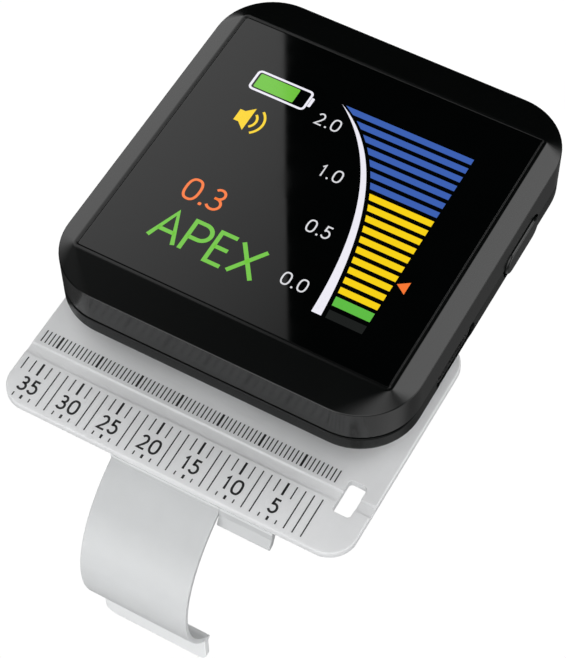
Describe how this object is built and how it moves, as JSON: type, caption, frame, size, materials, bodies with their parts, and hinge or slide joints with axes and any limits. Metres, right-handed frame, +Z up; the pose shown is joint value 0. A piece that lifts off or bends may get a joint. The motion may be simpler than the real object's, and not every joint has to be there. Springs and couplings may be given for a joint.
{
  "type": "apex locator",
  "caption": "Small square apex locator: a dark case with a glass display slides onto a frosted ruler plate with a file groove and an open finger band below it.",
  "frame": {"origin": "on the finger band's axis, midway along the band's width", "axes": "+X along the finger band's axis, to the side with the button and lead socket; +Y towards the case's rear, away from the ruler; +Z up, out of the display"},
  "size_m": [0.0423, 0.0629, 0.0406],
  "materials": {
    "band_plastic": "frosted translucent",
    "ruler_plastic": "frosted translucent",
    "shell_plastic": "fine spark texture",
    "button_plastic": "fine texture",
    "seal_rubber": "matte",
    "display_glass": "polished, black printed behind",
    "screw_steel": "satin",
    "panel_black": "gloss",
    "tray_white": "matte",
    "guide_acrylic": "gloss",
    "ribbon_film": "gloss",
    "board_laminate": "satin",
    "chip_epoxy": "matte",
    "can_steel": "satin",
    "connector_plastic": "matte",
    "socket_steel": "satin",
    "cell_foil": "satin",
    "foam_black": "matte",
    "wire_red": "gloss",
    "speaker_metal": "satin",
    "speaker_mesh": "woven"
  },
  "bodies": {
    "ring_unit": {"finger_band": "band_plastic", "ruler_plate": "ruler_plastic", "slide_key": "ruler_plastic", "key_screws": "screw_steel"},
    "case": {"rear_cover": "shell_plastic", "front_bezel": "shell_plastic", "seam_gasket": "seal_rubber", "case_screws": "screw_steel", "display_glass": "display_glass", "glass_gasket": "seal_rubber", "display_panel": "panel_black", "light_guide": "guide_acrylic", "backlight_tray": "tray_white", "display_ribbon": "ribbon_film", "ribbon_connector": "chip_epoxy", "main_board": "board_laminate", "board_screws": "screw_steel", "controller_chip": "chip_epoxy", "amplifier_chip": "chip_epoxy", "shield_can": "can_steel", "power_coil": "chip_epoxy", "button_switch": "connector_plastic", "socket_shell": "socket_steel", "socket_core": "chip_epoxy", "battery_pack": "cell_foil", "battery_foam": "foam_black", "battery_wires": "wire_red", "battery_connector": "connector_plastic", "speaker": "speaker_metal", "speaker_mesh": "speaker_mesh"},
    "button": {"side_button": "button_plastic"}
  },
  "joints": [
    {"name": "case_slide", "type": "slide", "parent": "ring_unit", "child": "case", "axis": [0, 1, 0], "range_m": [0, 0.018]},
    {"name": "button_press", "type": "slide", "parent": "case", "child": "button", "axis": [-1, 0, 0], "range_m": [0, 0.0004], "stiffness_N_per_m": 1500}
  ]
}
